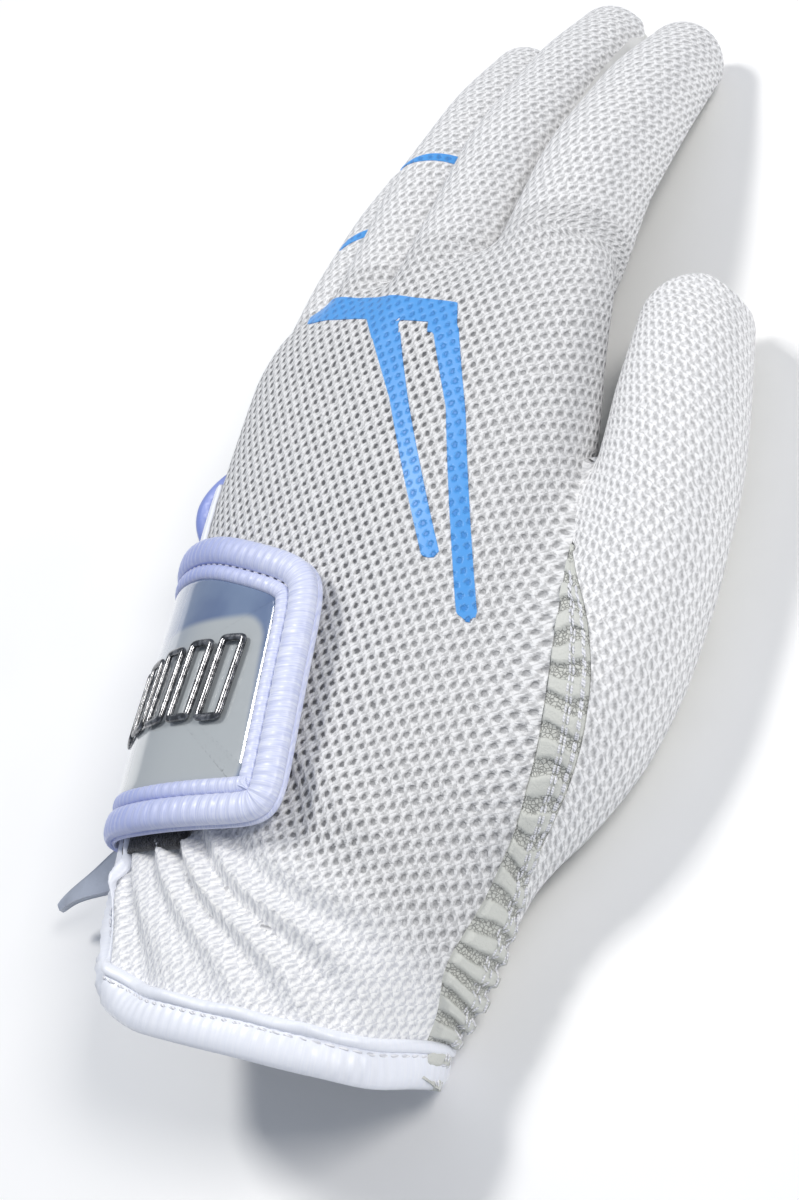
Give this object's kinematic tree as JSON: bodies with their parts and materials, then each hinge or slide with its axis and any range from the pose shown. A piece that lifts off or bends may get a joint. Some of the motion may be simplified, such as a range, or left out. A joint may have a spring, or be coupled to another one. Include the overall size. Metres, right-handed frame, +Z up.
{
  "type": "golf glove",
  "caption": "Left-hand golf glove with a mesh knit back, leather palm, shirred side strip and a padded closure tab; knuckles, fingers, thumb and tab hinge.",
  "frame": {"origin": "a point on the flat part of the palm that rests, under the middle of the hand", "axes": "+X towards the thumb, +Y towards the fingertips, +Z up, away from the palm"},
  "size_m": [0.1395, 0.2478, 0.0484],
  "materials": {
    "mesh_knit": "matte white honeycomb mesh",
    "palm_leather": "thin soft light grey leather",
    "side_leather": "thin soft white leather",
    "shirred_leather": "elastic-gathered light grey leather",
    "satin_binding": "smooth satin over thin padding",
    "blue_print": "thin blue transfer film",
    "hook_and_loop": "black hook and loop pile",
    "elastic": "white elastic tape",
    "window_film": "glossy grey-blue film",
    "dark_chrome": "dark metallic moulded film"
  },
  "bodies": {
    "hand": {"back_panel": "mesh_knit", "shirred_strip": "shirred_leather", "thumb_heel": "mesh_knit", "palm_panel": "palm_leather", "palm_hem": "satin_binding", "cuff_binding": "satin_binding", "cuff_welt": "satin_binding", "slit_binding": "satin_binding", "wrist_elastic": "elastic", "loop_patch": "hook_and_loop", "ulnar_flap": "palm_leather", "print_leg_ulnar": "blue_print", "print_leg_radial": "blue_print"},
    "knuckles": {"knuckle_back": "mesh_knit", "knuckle_palm": "palm_leather", "fork_index_middle": "side_leather", "fork_middle_ring": "side_leather", "fork_ring_pinky": "side_leather", "print_bar": "blue_print"},
    "index": {"index_back": "mesh_knit", "index_palm": "palm_leather", "index_fork_ulnar": "side_leather"},
    "middle": {"middle_back": "mesh_knit", "middle_palm": "palm_leather", "middle_fork_radial": "side_leather", "middle_fork_ulnar": "side_leather"},
    "ring": {"ring_back": "mesh_knit", "ring_palm": "palm_leather", "ring_fork_radial": "side_leather", "ring_fork_ulnar": "side_leather", "ring_print": "blue_print"},
    "pinky": {"pinky_back": "mesh_knit", "pinky_palm": "palm_leather", "pinky_fork_radial": "side_leather", "pinky_print": "blue_print"},
    "thumb": {"thumb_back": "mesh_knit", "thumb_palm": "palm_leather"},
    "tab": {"tab_base": "satin_binding", "tab_hook": "hook_and_loop", "tab_outer_welt": "satin_binding", "tab_inner_welt": "satin_binding", "tab_window": "window_film", "tab_badge": "dark_chrome"}
  },
  "joints": [
    {"name": "knuckle_flex", "type": "hinge", "parent": "hand", "child": "knuckles", "pos_m": [0, 0.072, 0.0105], "axis": [-1, 0, 0], "range_deg": [0, 60]},
    {"name": "index_flex", "type": "hinge", "parent": "knuckles", "child": "index", "pos_m": [0.0291, 0.1178, 0.0113], "axis": [-1, 0, 0], "range_deg": [0, 80]},
    {"name": "middle_flex", "type": "hinge", "parent": "knuckles", "child": "middle", "pos_m": [0.0086, 0.1259, 0.0116], "axis": [-1, 0, 0], "range_deg": [0, 80]},
    {"name": "ring_flex", "type": "hinge", "parent": "knuckles", "child": "ring", "pos_m": [-0.0107, 0.1175, 0.0128], "axis": [-1, 0, 0], "range_deg": [0, 80]},
    {"name": "pinky_flex", "type": "hinge", "parent": "knuckles", "child": "pinky", "pos_m": [-0.0295, 0.0985, 0.0103], "axis": [-1, 0, 0], "range_deg": [0, 80]},
    {"name": "thumb_flex", "type": "hinge", "parent": "hand", "child": "thumb", "pos_m": [0.0555, 0.036, 0.0012], "axis": [-1, 0, 0], "range_deg": [0, 50]},
    {"name": "tab_open", "type": "hinge", "parent": "hand", "child": "tab", "pos_m": [-0.0465, 0.005, 0.0185], "axis": [0, -1, 0], "range_deg": [0, 110]}
  ]
}
